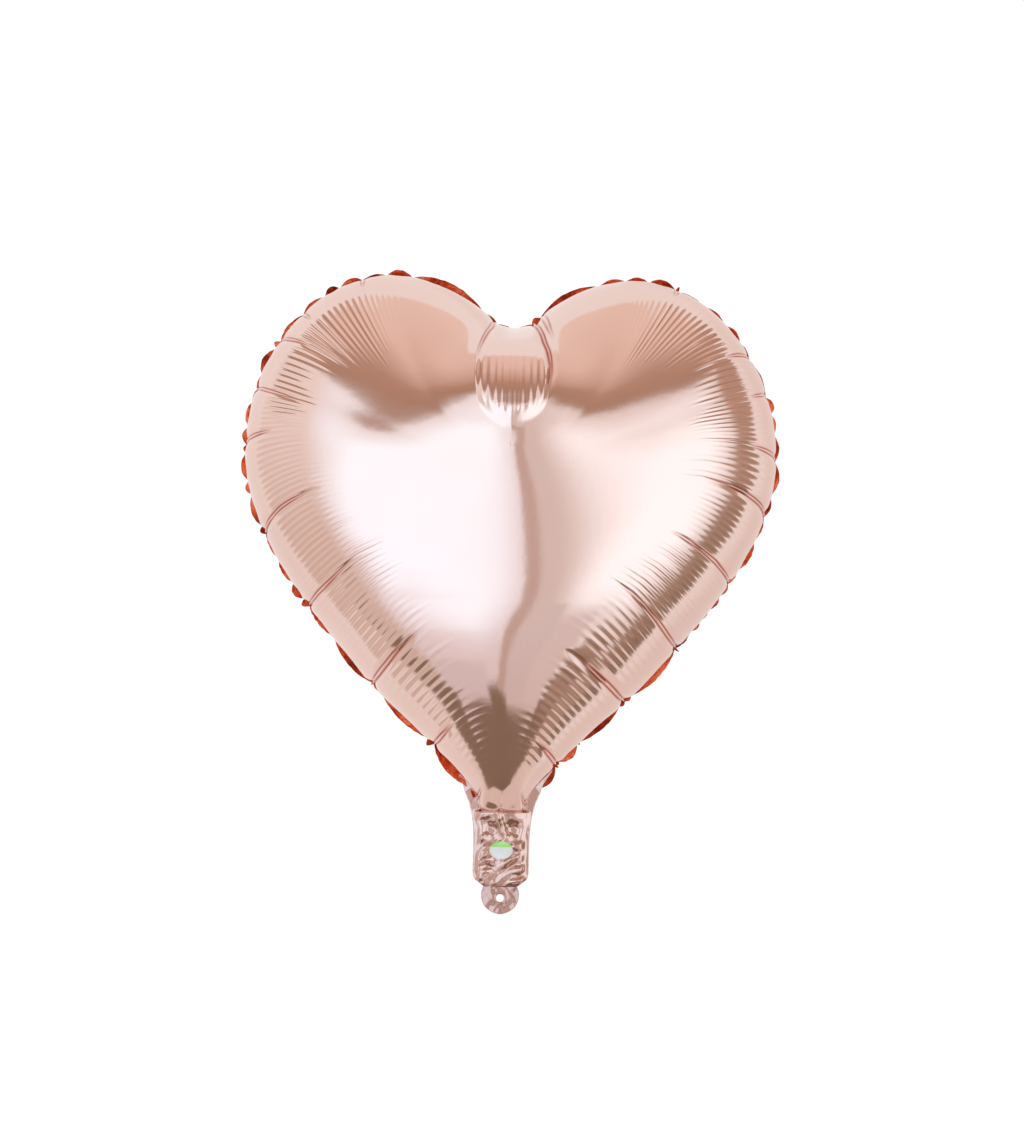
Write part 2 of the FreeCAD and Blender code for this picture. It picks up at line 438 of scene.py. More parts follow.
class FlatMap:
    """Carries values known at the corners of a flat mesh to any flat place."""

    def __init__(self, flat, faces, values):
        self.corners = [Vector((p[0], p[1], 0.0)) for p in flat]
        self.faces = plain_faces(faces)
        self.values = np.asarray(values, float)
        self.tree = BVHTree.FromPolygons(self.corners, self.faces)

    def at(self, places):
        found = np.zeros((len(places), self.values.shape[1]))
        for row, (x, z) in enumerate(places):
            spot, _, index, _ = self.tree.find_nearest(Vector((x, z, 0.0)))
            face = self.faces[index]
            weights = poly_3d_calc([self.corners[i] for i in face], spot)
            found[row] = np.dot(weights, self.values[list(face)])
        return found


flat, triangles, blown = inflate()
fine_flat, fine_faces = finer(np.column_stack([flat, np.zeros(len(flat))]), triangles, 2)
fine_blown, _ = finer(blown, triangles, 2)
sheet_map = FlatMap(fine_flat[:, :2], fine_faces, fine_blown)

# A plain grid over the right half of the cut: columns start square to the weld and bend
# towards the heart's middle line, rows lie at equal shares of each column's length.
base_count = 300
base_rows = 90
# where the columns meet the middle line: height in the cut against share of the way round
meet_share = [0, 0.13, 0.30, 0.45, 0.60, 0.73, 0.88, 0.95, 1.0]
meet_level = [215, 214, 211, 203, 181, 142, 40, -24, -46]
weld_pull = 0.42        # of a column's span: how far it runs square to the weld
middle_pull = 0.28      # and how far it runs level at the middle line
rim_line = even_points(cut, base_count + 1)
rim_run = run_length(cut)[-1]
share = np.linspace(0, 1, base_count + 1)


def smooth_along(values, width, axis=0):
    """A running mean with ends held, applied twice."""
    kernel = np.ones(width) / width
    for _ in range(2):
        ends = [(width // 2, width // 2) if a == axis else (0, 0) for a in range(values.ndim)]
        padded = np.pad(values, ends, mode="edge")
        values = np.apply_along_axis(lambda line: np.convolve(line, kernel, "valid"), axis, padded)
    return values


def keep_to_middle(grid, columns=0):
    """Holds a grid's first or given columns, and its last row, on the heart's middle line."""
    grid[columns, :, 0] = 0
    grid[:, -1, 0] = 0


def base_grid():
    """Flat places of the right half's grid (column, row, xz) and each column's length."""
    along = unit(np.gradient(smooth_along(rim_line, 5), axis=0))
    inward = np.stack([along[:, 1], -along[:, 0]], 1)
    inward[0] = (0, -1)
    inward[-1] = (0, 1)
    inward = unit(smooth_along(inward, 7))
    meets = smooth_along(np.interp(share, meet_share, meet_level), 21)
    goal = np.stack([np.zeros(base_count + 1), meets], 1)
    span = np.linalg.norm(goal - rim_line, axis=1)
    places = np.zeros((base_count + 1, base_rows + 1, 2))
    lengths = np.zeros(base_count + 1)
    for i in range(base_count + 1):
        sideways = np.array([min(middle_pull * span[i], rim_line[i, 0]), 0.0])
        curve = bezier(rim_line[i], inward[i] * weld_pull * span[i], -sideways, goal[i], 90)
        curve = np.vstack([curve, goal[i]])
        places[i] = even_points(curve, base_rows + 1)
        lengths[i] = run_length(curve)[-1]
    keep_to_middle(places)
    return places, lengths


def blown_grid(places):
    """The inflated front over the same grid, both halves averaged and smoothed."""
    flat_places = places.reshape(-1, 2)
    right = sheet_map.at(flat_places)
    left = sheet_map.at(flat_places * (-1, 1)) * (-1, 1, 1)
    grid = ((right + left) / 2).reshape(*places.shape[:2], 3)
    keep_to_middle(grid)
    both = np.concatenate([(grid * (-1, 1, 1))[:0:-1], grid])
    near = smooth_along(both, 7)[base_count:]
    far = smooth_along(near, 5, axis=1)
    firm_rows = 6       # the rows beside the weld, eased in from unsmoothed to smoothed
    ease = np.clip(np.arange(base_rows + 1) / firm_rows, 0, 1)[None, :, None]
    grid = near * (1 - ease) + far * ease
    keep_to_middle(grid)
    return grid


flat_grid, column_length = base_grid()
skin = blown_grid(flat_grid)

# The weld of the blown heart, fitted to the frame: the right half from the notch to the neck.
weld_half = 176.5
lobe_top = 414.8
neck_level = 58.6
weld_line = np.vstack([
    bezier((0, 378), (13, 0), (50, 0), (82, lobe_top), 60),
    bezier((82, lobe_top), (50, 0), (0, -62), (weld_half, 298), 60),
    bezier((weld_half, 298), (0, -57), (-28, -34), (101, 157), 60),
    bezier((101, 157), (-20, -25), (-12, -19), (24, 79), 40),
    bezier((24, 79), (-5, -8), (-0.5, -7), (16.5, neck_level), 20),
    bezier((16.5, neck_level), (-6, 0), (-6, 0), (0, neck_level), 10),
    [(0, neck_level)]])
cut_corner = -6         # the cut's point just above the neck's foot
weld_corner = -11       # and the weld line's at the foot
fit_reach = 0.85        # of a column's length, over which the move onto the weld line fades


def eased(value):
    """0 below 0, 1 above 1 and a smooth rise between them."""
    value = np.clip(value, 0, 1)
    return value * value * (3 - 2 * value)


def matched(line, target, marks, target_marks):
    """For each place on a line, the place at the same share of the target between the marks."""
    run, goal_run = run_length(line), run_length(target)
    return points_along(target, np.interp(run, run[list(marks)], goal_run[list(target_marks)]))


def fit_to_weld(grid):
    """Moves the blown heart's rim onto the weld line and eases the change inwards."""
    rim = grid[:, 0][:, [0, 2]].copy()
    rim[:, 0] *= weld_half / rim[:, 0].max()
    grow = (lobe_top - neck_level) / (rim[:, 1].max() - rim[-1, 1])
    grid[..., 0] *= weld_half / grid[:, 0, 0].max()
    grid[..., 2] = neck_level + (grid[..., 2] - grid[-1, 0, 2]) * grow
    rim = grid[:, 0][:, [0, 2]]
    corner = int(np.argmin(np.abs(run_length(cut)[cut_corner] / rim_run - share)))
    marks = (0, int(np.argmax(rim[:, 1])), int(np.argmax(rim[:, 0])), corner, base_count)
    goal_marks = (0, int(np.argmax(weld_line[:, 1])), int(np.argmax(weld_line[:, 0])),
                  weld_corner, len(weld_line) - 1)
    move = matched(rim, weld_line, marks, goal_marks) - rim
    move = np.concatenate([(move * (-1, 1))[:0:-1], move])
    move = smooth_along(move, 9)[base_count:]
    fall = 1 - eased(np.linspace(0, 1, base_rows + 1) / fit_reach)
    grid[..., 0] += move[:, None, 0] * fall
    grid[..., 2] += move[:, None, 1] * fall
    grid[:, 0, 1] = 0


def puffed_neck(grid):
    """Above the neck crease the two sheets stand apart, with the gas between them."""
    foot_height = 4.0       # mm above the neck's foot that count as the neck
    reach = 8.0             # mm up the sheet over which the puff fades
    from_rim = np.linspace(0, 1, base_rows + 1)[None, :] * column_length[:, None]
    at_neck = np.clip(1 - (grid[:, :1, 0] / neck_half) ** 2, 0, 1)
    at_neck = at_neck * (grid[:, :1, 2] < neck_level + foot_height)
    grid[..., 1] -= neck_puff * smooth_along(at_neck, 5) * np.exp(-from_rim / reach)


fit_to_weld(skin)
belly = 90.0
neck_half = 17.0
neck_puff = 4.6
skin[..., 1] *= belly / np.abs(skin[..., 1]).max()
puffed_neck(skin)

# Where the barrel between the lobes ends the real heart is fuller than plain inflation gives:
# extra height above the blown skin along the middle line, against height, fading to the sides.
# The last levels are those of the notch, and follow the rim up over the lobes: beside the
# middle line, up to lobe_side, the rim's own height counts, and further out the lobe's.
full_levels = [120, 180, 255, 285, 305, 322, 338, 350, 364, 374, 380]
full_rise = [0, 2.0, 2.2, 3.2, 4.5, 6.1, 8.6, 8.8, 7.0, 3.0, 0]
full_width = 50.0
notch_level = 380.0
lobe_level = 416.0
lobe_side = 80.0
lobe_blend = 20.0
follow_from = 335.0
follow_blend = 35.0
# and how far the film beside and in the barrel then stands forward before it turns in to the notch
stand_levels = [322, 332, 342, 352, 362, 369, 375, 380]
stand_out = [0, 0.6, 2.1, 4.4, 7.0, 7.6, 5.0, 0]
stand_width = 40.0
# the left lobe sags: where, how wide and high its fold spreads, and how far it stands out
sag_side = 82.0
sag_level = 297.0
sag_width = 36.0
sag_height = 25.0
sag_rise = 3.2
sag_onset = 15.0
# the film's middle leans one way above and the other below: slope against height
sway_levels = [92, 120, 143, 162, 181, 200, 214, 245, 275, 312, 336]
sway_slope = [0, -0.020, -0.042, -0.034, 0.0, 0.056, 0.070, 0.060, 0.058, 0.022, 0]
sway_width = 52.0

# Gathers. The weld is shorter round the blown heart than round the flat cut, so the film
# gathers: long creases every few centimetres, and fine gathers about 6 mm apart between them.
# Each crease: share of the way from notch to neck, length in mm, lean towards the notch,
# and strength. The first one on each side bounds the barrel between the lobes.
front_creases = {
    "left": [(0.020, 80, -0.12, 0.6), (0.172, 26, 0.0, 0.5), (0.247, 30, 0.0, 0.6), (0.289, 50, 0.2, 0.8),
             (0.367, 66, 0.12, 0.8), (0.436, 50, 0.3, 0.9), (0.541, 88, 0.24, 1.0), (0.664, 84, 0.2, 1.0),
             (0.786, 84, 0.14, 1.1), (0.877, 50, 0.02, 1.0), (0.952, 20, 0.1, 0.6)],
    "right": [(0.021, 104, -0.12, 1.1), (0.030, 60, -0.13, 0.5), (0.186, 24, 0.1, 0.5),
              (0.299, 44, 0.25, 0.9), (0.360, 36, 0.2, 0.8), (0.441, 52, 0.3, 0.9), (0.503, 90, 0.22, 1.0),
              (0.602, 98, 0.14, 1.1), (0.722, 104, 0.2, 1.1), (0.804, 94, 0.02, 1.1), (0.904, 50, 0.0, 1.0),
              (0.960, 20, 0.1, 0.6)]}
back_creases = {
    "left": [(0.022, 100, -0.11, 1.2), (0.150, 40, 0.1, 0.7), (0.235, 56, 0.15, 0.9), (0.330, 50, 0.2, 0.9),
             (0.405, 80, 0.15, 1.0), (0.500, 66, 0.25, 1.0), (0.590, 92, 0.2, 1.1), (0.690, 80, 0.15, 1.1),
             (0.765, 90, 0.1, 1.1), (0.850, 66, 0.05, 1.0), (0.930, 34, 0.0, 0.8)],
    "right": [(0.020, 104, -0.12, 1.2), (0.130, 32, 0.1, 0.6), (0.215, 52, 0.15, 0.8), (0.310, 60, 0.2, 0.9),
              (0.395, 54, 0.2, 1.0), (0.470, 84, 0.22, 1.0), (0.560, 68, 0.2, 1.0), (0.650, 96, 0.18, 1.1),
              (0.745, 80, 0.12, 1.1), (0.835, 72, 0.05, 1.0), (0.925, 36, 0.0, 0.8)]}

# the fine mesh of each half: columns round the rim, close rows near it and wide ones beyond
column_count = 680
near_rows = 52
far_rows = 14
near_reach = 124.0
near_share = 0.85           # of a short column's length that its close rows may take
open_spacing = 1.3
crease_spacing = 0.5
crease_spread = 4.5         # mm either side of a crease where the columns close up
barrel_spacing = 0.55

# the film between two creases stands up as a pillow beside the weld
pillow_rise = 2.6
pillow_onset = 3.2
pillow_top = 12.0
pillow_fade = 30.0
# each crease is a valley with a pleat down its middle, narrower towards its end
crease_depth = 3.2
crease_onset = 2.2
crease_width = 3.5
crease_flare = 6.0
pleat_share = 0.7
groove_width = 0.75
# the barrel between the lobes, with its own upright gathers
barrel_rise = 4.2
barrel_end = 111.0
upright_pitch = 4.9
upright_rise = 0.28
# fine gathers: where they start and end, in mm from the weld, and how far that wanders
gather_pitch = 5.9
gather_rise = 0.30
gather_start = 27.0
gather_end = 88.0
flank_place = 0.66          # share of the way round where they reach furthest
flank_spread = 0.16
flank_reach = 22.0
# slower swells of the film between the creases
swell_pitch = 21.0
swell_rise = 0.35
swell_place = 48.0
swell_width = 20.0


def wander(values, pitch, seed):
    """Smooth noise along a line: one random height every pitch, joined smoothly."""
    rng = np.random.default_rng(seed)
    values = np.maximum(values, 0)
    knots = rng.uniform(-1, 1, int(np.max(values) / pitch) + 4)
    place = values / pitch
    index = place.astype(int)
    t = eased(place - index)
    return knots[index] * (1 - t) + knots[index + 1] * t


def crease_stations(creases):
    """Places of the columns along the rim, closer together beside each crease."""
    fine = np.linspace(0, rim_run, 8000)
    density = np.full(len(fine), 1 / open_spacing)
    for place, _, _, _ in creases:
        near_crease = np.exp(-((fine - place * rim_run) / crease_spread) ** 2)
        density += (1 / crease_spacing - 1 / open_spacing) * near_crease
    density[fine < creases[0][0] * rim_run] += 1 / barrel_spacing
    total = np.concatenate([[0], np.cumsum((density[1:] + density[:-1]) / 2)])
    return np.interp(np.linspace(0, total[-1], column_count + 1), total, fine)


def on_grid(grid, column, row):
    """Values of a base grid at fractional columns and rows."""
    column = np.clip(column, 0, base_count - 1e-6)
    row = np.clip(row, 0, base_rows - 1e-6)
    i, j = column.astype(int), row.astype(int)
    u, v = (column - i)[..., None], (row - j)[..., None]
    return ((grid[i, j] * (1 - u) + grid[i + 1, j] * u) * (1 - v)
            + (grid[i, j + 1] * (1 - u) + grid[i + 1, j + 1] * u) * v)


def square_to(places):
    """Unit normals of a grid of places, pointing out of the front."""
    normal = unit(np.cross(np.gradient(places, axis=0), np.gradient(places, axis=1)))
    return normal * np.where(normal[..., 1:2].mean() > 0, -1, 1)


def fuller(grid):
    """The blown grid with the extra height below the notch."""
    beside = eased((lobe_side - grid[:, :1, 0]) / lobe_blend)
    rim_level = grid[:, :1, 2] * beside + lobe_level * (1 - beside)
    over_lobe = np.maximum(rim_level - notch_level, 0)
    over_lobe = over_lobe * eased((grid[..., 2] - follow_from) / follow_blend)
    rise = np.interp(grid[..., 2] - over_lobe, full_levels, full_rise)
    rise = rise * np.exp(-(grid[..., 0] / full_width) ** 2)
    rise = smooth_along(smooth_along(rise, 5, axis=1), 5)
    rise[:, 0] = 0
    normal = square_to(grid)
    keep_to_middle(normal)
    grid = grid + normal * rise[..., None]
    stand = np.interp(grid[..., 2] - over_lobe, stand_levels, stand_out)
    stand = stand * np.exp(-(grid[..., 0] / stand_width) ** 2)
    stand = smooth_along(smooth_along(stand, 3, axis=1), 3)
    stand[:, 0] = 0
    grid[..., 1] += stand * np.sign(normal[..., 1].mean())
    keep_to_middle(grid)
    return grid


full_skin = fuller(skin)
full_skin[-1, :, 0] = 0
skin_normal = square_to(full_skin)
keep_to_middle(skin_normal, [0, -1])
skin_normal = unit(smooth_along(skin_normal, 5))


def half_skin(creases, seed, hand):
    """One half's places (column, row, xyz) and how much painted crease shade each has, right-handed."""
    furthest_lean = 90      # mm from the weld, beyond which a crease leans no further
    station = crease_stations(creases)
    column = station / rim_run * base_count
    length = np.interp(column, np.arange(base_count + 1), column_length)
    near = np.minimum(near_reach, near_share * length)[:, None]
    steps = np.linspace(0, 1, near_rows + 1)[None, :-1]
    beyond = np.linspace(0, 1, far_rows + 1)[None, :]
    depth = np.concatenate([near * steps, near + (length[:, None] - near) * beyond], 1)
    ease = np.concatenate([np.zeros(near_rows), eased(np.linspace(0, 1, far_rows + 1))])[None, :]
    marks = [0.0] + [place for place, _, _, _ in creases] + [1.0]
    leans = [0.0] + [lean for _, _, lean, _ in creases] + [0.0]
    lean = np.interp(station / rim_run, marks, leans)[:, None]
    uniform = np.linspace(0, rim_run, column_count + 1)[:, None]
    leant = lean * np.minimum(depth, furthest_lean)
    shifted = (station[:, None] - leant) * (1 - ease) + uniform * ease
    shifted[0] = 0
    shifted[-1] = rim_run
    base_column = shifted / rim_run * base_count
    row = depth / length[:, None] * base_rows
    places = on_grid(full_skin, base_column, row)
    normal = unit(on_grid(skin_normal, base_column, row))

    rise = pillow_rise * (1 - np.exp(-(depth / pillow_onset) ** 1.4))
    rise = rise * np.exp(-(np.maximum(depth - pillow_top, 0) / pillow_fade) ** 2)
    rise = rise * eased((length[:, None] - 20) / 60)
    # painted shade: tint is how much of the deep red shade colour each place gets, along the grooves of the
    # creases
    tint = np.zeros_like(depth)
    for number, (place, reach, _, strength) in enumerate(creases):
        off = station[:, None] - place * rim_run + 0.35 * wander(depth, 12, seed + number)
        fade = np.clip(1 - depth / reach, 0, 1)
        onset = 1 - np.exp(-(depth / crease_onset) ** 1.2)
        width = crease_width + crease_flare * np.sqrt(fade)
        size = crease_depth * strength * onset * fade ** 0.7
        valley = np.clip(1 - np.abs(off) / width, 0, 1) ** 2.2
        thin = 0.6 if number == 0 else 1.0
        lip = 0.5 + thin * 1.1 * np.sin(math.pi * np.clip((depth + 3) / (reach + 3), 0, 1)) ** 0.8
        pleat = pleat_share * np.exp(-(off / (0.62 * lip)) ** 2)
        rise -= size * (valley - pleat * np.clip(fade * 3, 0, 1))
        # painted shade: the grooves beside each pleat take the deep red, fading towards the crease's end
        groove = np.exp(-((np.abs(off) - lip) / groove_width) ** 2)
        tint = np.maximum(tint, groove * np.clip(fade * 3.5, 0, 1) * min(1, 0.4 + 0.6 * strength))

    # the barrel between the two innermost creases, with its own upright gathers
    across = station[:, None] / (creases[0][0] * rim_run)
    body = np.clip(1 - across ** 2, 0, 1) ** 0.7
    end = barrel_end - 10 * np.clip(across, 0, 1) ** 2
    growing = 0.35 + 0.65 * np.clip((depth - 60) / 50, 0, 1) ** 1.6
    along = eased(depth / 20) * growing * (1 - eased((depth - end) / 12))
    rise += barrel_rise * body * along
    upright = hand * places[..., 0] + 0.9 * wander(hand * places[..., 0] + 60, 7, 70)
    upright = np.cos(2 * math.pi * upright / upright_pitch) * np.clip(body * 2, 0, 1)
    rise += upright_rise * upright * eased((depth - 50) / 50) * eased((end + 4 - depth) / 4)

    # the left lobe's sag and the lean of the middle
    if hand < 0:
        aside = (places[..., 0] - sag_side) / sag_width
        above = (places[..., 2] - sag_level) / sag_height
        rise += sag_rise * eased(places[..., 0] / sag_onset) * np.exp(-aside ** 2 - above ** 2)
    sway = np.interp(places[..., 2], sway_levels, sway_slope)
    rise += hand * sway * places[..., 0] * np.exp(-(places[..., 0] / sway_width) ** 2)

    # fine gathers
    inner = gather_end + 13 * wander(station, gather_pitch, seed + 50) + 10 * wander(station, 70, seed + 51)
    inner += flank_reach * np.exp(-((station / rim_run - flank_place) / flank_spread) ** 2)
    outer = gather_start + 2.5 * wander(station, 7.0, seed + 52)
    size = 0.72 + 0.28 * wander(station, 8.0, seed + 53)
    window = eased((depth - outer[:, None]) / 9) * eased((inner[:, None] - depth) / 42)
    phase = 2 * math.pi * (station + 1.8 * wander(station, 26, seed + 54)) / gather_pitch
    wave = (np.cos(phase) + 0.3 * np.cos(2 * phase))[:, None]
    place = (station / rim_run)[:, None]
    lobes = eased((place - 0.10) / 0.10) * (1 - 0.6 * eased((place - 0.76) / 0.12))
    rise += gather_rise * size[:, None] * window * wave * lobes * eased((length[:, None] - depth - 5) / 18)
    swell = swell_rise * wander(station, swell_pitch, seed + 60)[:, None]
    rise += swell * np.exp(-((depth - swell_place) / swell_width) ** 2) * lobes * eased((0.97 - place) / 0.05)

    places = places + normal * rise[..., None]
    # the first columns stay in order beside the middle line, at least 0.02 mm apart
    first_columns = 12
    order = 0.02 * np.arange(first_columns)[:, None]
    places[:first_columns, :-1, 0] = np.maximum(places[:first_columns, :-1, 0], order)
    keep_to_middle(places, [0, -1])
    return places, tint


def heart_skin(name, creases, side, seed, material):
    """One whole sheet of the heart: right and left halves joined on the middle line."""
    right, right_crease_shade = half_skin(creases["right"], seed, 1)
    left, left_crease_shade = half_skin(creases["left"], seed + 500, -1)
    left[0] = right[0]
    left[-1] = right[-1]
    left[:, -1] = (left[:, -1] + right[:, -1]) / 2
    right[:, -1] = left[:, -1]
    right = right * (1, -side, 1)
    left = left * (-1, -side, 1)
    points = np.concatenate([right.reshape(-1, 3), left.reshape(-1, 3)])
    crease_shades = np.concatenate([right_crease_shade.ravel(), left_crease_shade.ravel()])
    columns, rows = right.shape[:2]
    index = np.arange(columns * rows).reshape(columns, rows)
    left_index = index + columns * rows
    left_index[[0, -1]] = index[[0, -1]]
    left_index[:, -1] = index[:, -1]
    faces = []
    for grid, flip in ((index, side < 0), (left_index, side > 0)):
        a, b, c, d = grid[:-1, :-1], grid[1:, :-1], grid[1:, 1:], grid[:-1, 1:]
        quads = np.stack([a, b, c, d], -1).reshape(-1, 4)
        if flip:
            quads = quads[:, ::-1]
        faces.append(quads)
    quads = np.concatenate(faces)
    used = np.unique(quads)
    renumber = np.full(len(points), -1)
    renumber[used] = np.arange(len(used))
    quads = renumber[quads]
    piece = mesh_object(name, points[used] * MM, quads, material)
    # the painted deep red shade of the crease grooves goes to the film material as a point attribute
    attribute = piece.data.attributes.new("painted_crease_shade", "FLOAT", "POINT")
    attribute.data.foreach_set("value", crease_shades[used].astype(np.float32))
    return piece


# Metallised nylon film is vacuum-coated with aluminium and lacquered rose: to the eye a soft
# mirror, uneven over a hand's breadth, with slack ripples 8 mm and less across that stand
# under a tenth of a millimetre. A deeper red is painted as shade into the grooves where it folds
# on itself, in place of the light that bounces between its mirrored faces there.
cloud_size = 111.0
slack_size = 8.33


def film_material(name, colour, crease_shade_colour):
    """The lacquered film in one pair of tints, with the deep red painted as shade in its folds."""
    material, tree = new_material(name)
    place = add_node(tree, "ShaderNodeTexCoord")
    painted_crease_shade = add_node(tree, "ShaderNodeAttribute", attribute_name="painted_crease_shade")
    cloud = add_node(tree, "ShaderNodeTexNoise", [("Vector", place.outputs["Object"])],
                     scale=1 / (cloud_size * MM), detail=3.0)
    shades = add_node(tree, "ShaderNodeValToRGB", [("Fac", cloud.outputs["Fac"])])
    fill_ramp(shades, [(0.35, linear(colour[0])), (0.65, linear(colour[1]))])
    # painted shade: along the crease grooves, the film's own tint gives way to the deep red shade colour
    colour_with_crease_shade = add_node(tree, "ShaderNodeMix", data_type="RGBA")
    tree.links.new(painted_crease_shade.outputs["Fac"], colour_with_crease_shade.inputs[0])
    tree.links.new(shades.outputs["Color"], colour_with_crease_shade.inputs[6])
    colour_with_crease_shade.inputs[7].default_value = linear(crease_shade_colour)
    slack = add_node(tree, "ShaderNodeTexNoise", [("Vector", place.outputs["Object"])],
                     scale=1 / (slack_size * MM), detail=3.0)
    bump = add_node(tree, "ShaderNodeBump", [("Height", slack.outputs["Fac"])],
                    strength=0.10, distance=0.4 * MM)
    haze = add_node(tree, "ShaderNodeMapRange", [("Value", cloud.outputs["Fac"])])
    haze.inputs["To Min"].default_value = 0.07
    haze.inputs["To Max"].default_value = 0.12
    foil = add_node(tree, "ShaderNodeBsdfPrincipled",
                    [("Base Color", colour_with_crease_shade.outputs[2]), ("Roughness", haze.outputs["Result"]),
                     ("Normal", bump.outputs["Normal"])], metallic=1.0)
    add_node(tree, "ShaderNodeOutputMaterial", [("Surface", foil.outputs["BSDF"])])
    return material


# the third colour is the deep red painted as shade into the creases
rose_foil = film_material("rose_gold_metallised_film", ("#e9cbc1", "#ecd0c7"), "#a83a20")
front_skin = heart_skin("front_panel_skin", front_creases, -1, 11, rose_foil)
back_skin = heart_skin("back_panel_skin", back_creases, 1, 211, rose_foil)
for piece, node in ((front_skin, "front_panel"), (back_skin, "back_panel")):
    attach(piece, "envelope")
    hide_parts(node)

# ------------------------------------------------------------------------------------------
# The welded margin: the 4 mm outside the weld where both sheets are fused. The blown heart's
# shorter rim ruffles it into small lens-shaped flaps, pinched where the creases meet it. Seen
# edge-on between two mirrors it looks deep red.
# ------------------------------------------------------------------------------------------

# wide flaps: from, to (share of the way from notch to neck) and how far they reach in mm
wide_flaps = {"left": [(0.035, 0.110, 6.0), (0.300, 0.345, 5.6), (0.445, 0.475, 5.4), (0.490, 0.530, 5.2),
                       (0.620, 0.650, 5.8), (0.715, 0.785, 5.4), (0.800, 0.868, 5.6), (0.878, 0.938, 7.2)],
              "right": [(0.030, 0.090, 5.6), (0.150, 0.182, 5.2), (0.720, 0.795, 5.4), (0.812, 0.868, 5.0),
                        (0.872, 0.900, 5.8), (0.906, 0.938, 6.8)]}
flap_base = 1.0             # mm of margin where creases pinch it
margin_width = 4.0
margin_inside = 2.0         # mm that it runs in between the sheets
margin_ply = 0.35
margin_end = 0.950          # share of the way round: the tail's film covers the rest
narrow_flaps = [2.6, 3.4, 4.2, 4.8]


def flap_reach(station, creases, flaps, seed):
    """How far the margin reaches beyond the weld and how far it sways, at each place round it."""
    rng = np.random.default_rng(seed)
    pinches = sorted([0.0, 1.0] + [c[0] for c in creases] + [f for flap in flaps for f in flap[:2]])
    reach = np.full(len(station), flap_base)
    ruffle = np.zeros(len(station))
    for start, end in zip(pinches[:-1], pinches[1:]):
        pieces = max(1, int((end - start) * rim_run / rng.uniform(13, 22)))
        wide = [flap[2] for flap in flaps if flap[0] <= start + 1e-6 and end <= flap[1] + 1e-6]
        if wide:
            pieces = 1
        edges = np.linspace(start, end, pieces + 1)
        edges[1:-1] += rng.uniform(-0.25, 0.25, pieces - 1) * (end - start) / pieces
        for low, high in zip(edges[:-1], edges[1:]):
            t = (station / rim_run - low) / max(high - low, 1e-6)
            inside_flap = (t >= 0) & (t <= 1)
            lens = np.sin(math.pi * np.clip(t, 0, 1)) ** 0.75
            tall = wide[0] if wide else rng.choice(narrow_flaps) + rng.uniform(-0.4, 0.4)
            sway = rng.uniform(0.6, 1.6) * rng.choice([-1, 1])
            reach = np.where(inside_flap, flap_base + (tall - flap_base) * lens, reach)
            ruffle = np.where(inside_flap, sway * lens, ruffle)
    return reach, ruffle


def margin_side(creases, flaps, seed):
    """One side's margin: (place along the rim, row from inside to outside, xyz)."""
    station = np.linspace(0, rim_run * margin_end, 900)
    column = station / rim_run * base_count
    rim = np.stack([np.interp(column, np.arange(base_count + 1), full_skin[:, 0, axis])
                    for axis in (0, 2)], 1)
    along = unit(np.gradient(smooth_along(rim, 9), axis=0))
    outward = np.stack([-along[:, 1], along[:, 0]], 1)
    outward[0] = (0, 1)
    reach, ruffle = flap_reach(station, creases, flaps, seed)
    hem = 0.22 * wander(station, 3.0, seed + 5)
    rows = np.concatenate([[-margin_inside], np.arange(6) / 5 * margin_width])
    sheet = []
    for number, row in enumerate(rows):
        out = row if row <= 0 else row / rows[-1] * (reach + hem)
        sway = 0 if row <= 0 else ruffle * (row / rows[-1]) + 0.35 * wander(station, 2.6, seed + 9 + number)
        sheet.append(np.column_stack([rim + outward * np.broadcast_to(out, (len(station),))[:, None],
                                      np.broadcast_to(sway, (len(station),))])[:, [0, 2, 1]])
    return np.stack(sheet, 1)


# heat-welded film: the two lacquered faces fused and crinkled into facets 2 mm across, a metal
# painted a dull red-gold, patchy over 2 cm, for the deep red reflection it shows edge-on between two mirrors
crinkle_size = 2.38
patch_size = 18.2
welded, tree = new_material("heat_welded_film_margin")
place = add_node(tree, "ShaderNodeTexCoord")
crinkle = add_node(tree, "ShaderNodeTexVoronoi", [("Vector", place.outputs["Object"])],
                   scale=1 / (crinkle_size * MM))
bump = add_node(tree, "ShaderNodeBump", [("Height", crinkle.outputs["Distance"])],
                strength=0.5, distance=0.6 * MM)
patchy = add_node(tree, "ShaderNodeTexNoise", [("Vector", place.outputs["Object"])],
                  scale=1 / (patch_size * MM), detail=4.0)
# painted reflection: these deep reds stand in for the rose film seen edge-on between two mirrors
edge_on_reflection_reds = add_node(tree, "ShaderNodeValToRGB", [("Fac", patchy.outputs["Fac"])])
fill_ramp(edge_on_reflection_reds, [(0.36, linear("#7c2212")), (0.50, linear("#c2431f")), (0.66, linear("#e2704e"))])
fused = add_node(tree, "ShaderNodeBsdfPrincipled", [("Base Color", edge_on_reflection_reds.outputs["Color"]),
                                                    ("Normal", bump.outputs["Normal"])],
                 metallic=1.0, roughness=0.28)
add_node(tree, "ShaderNodeOutputMaterial", [("Surface", fused.outputs["BSDF"])])


def grid_faces(columns, rows):
    """The quads of a grid of points, column after column."""
    index = np.arange(columns * rows).reshape(columns, rows)
    return np.stack([index[:-1, :-1], index[1:, :-1], index[1:, 1:], index[:-1, 1:]], -1).reshape(-1, 4)


def keep_modifiers(piece):
    """Turns a piece's modifiers into plain mesh."""
    made = bpy.data.meshes.new_from_object(piece.evaluated_get(bpy.context.evaluated_depsgraph_get()))
    spent = piece.data
    piece.modifiers.clear()
    piece.data = made
    bpy.data.meshes.remove(spent)


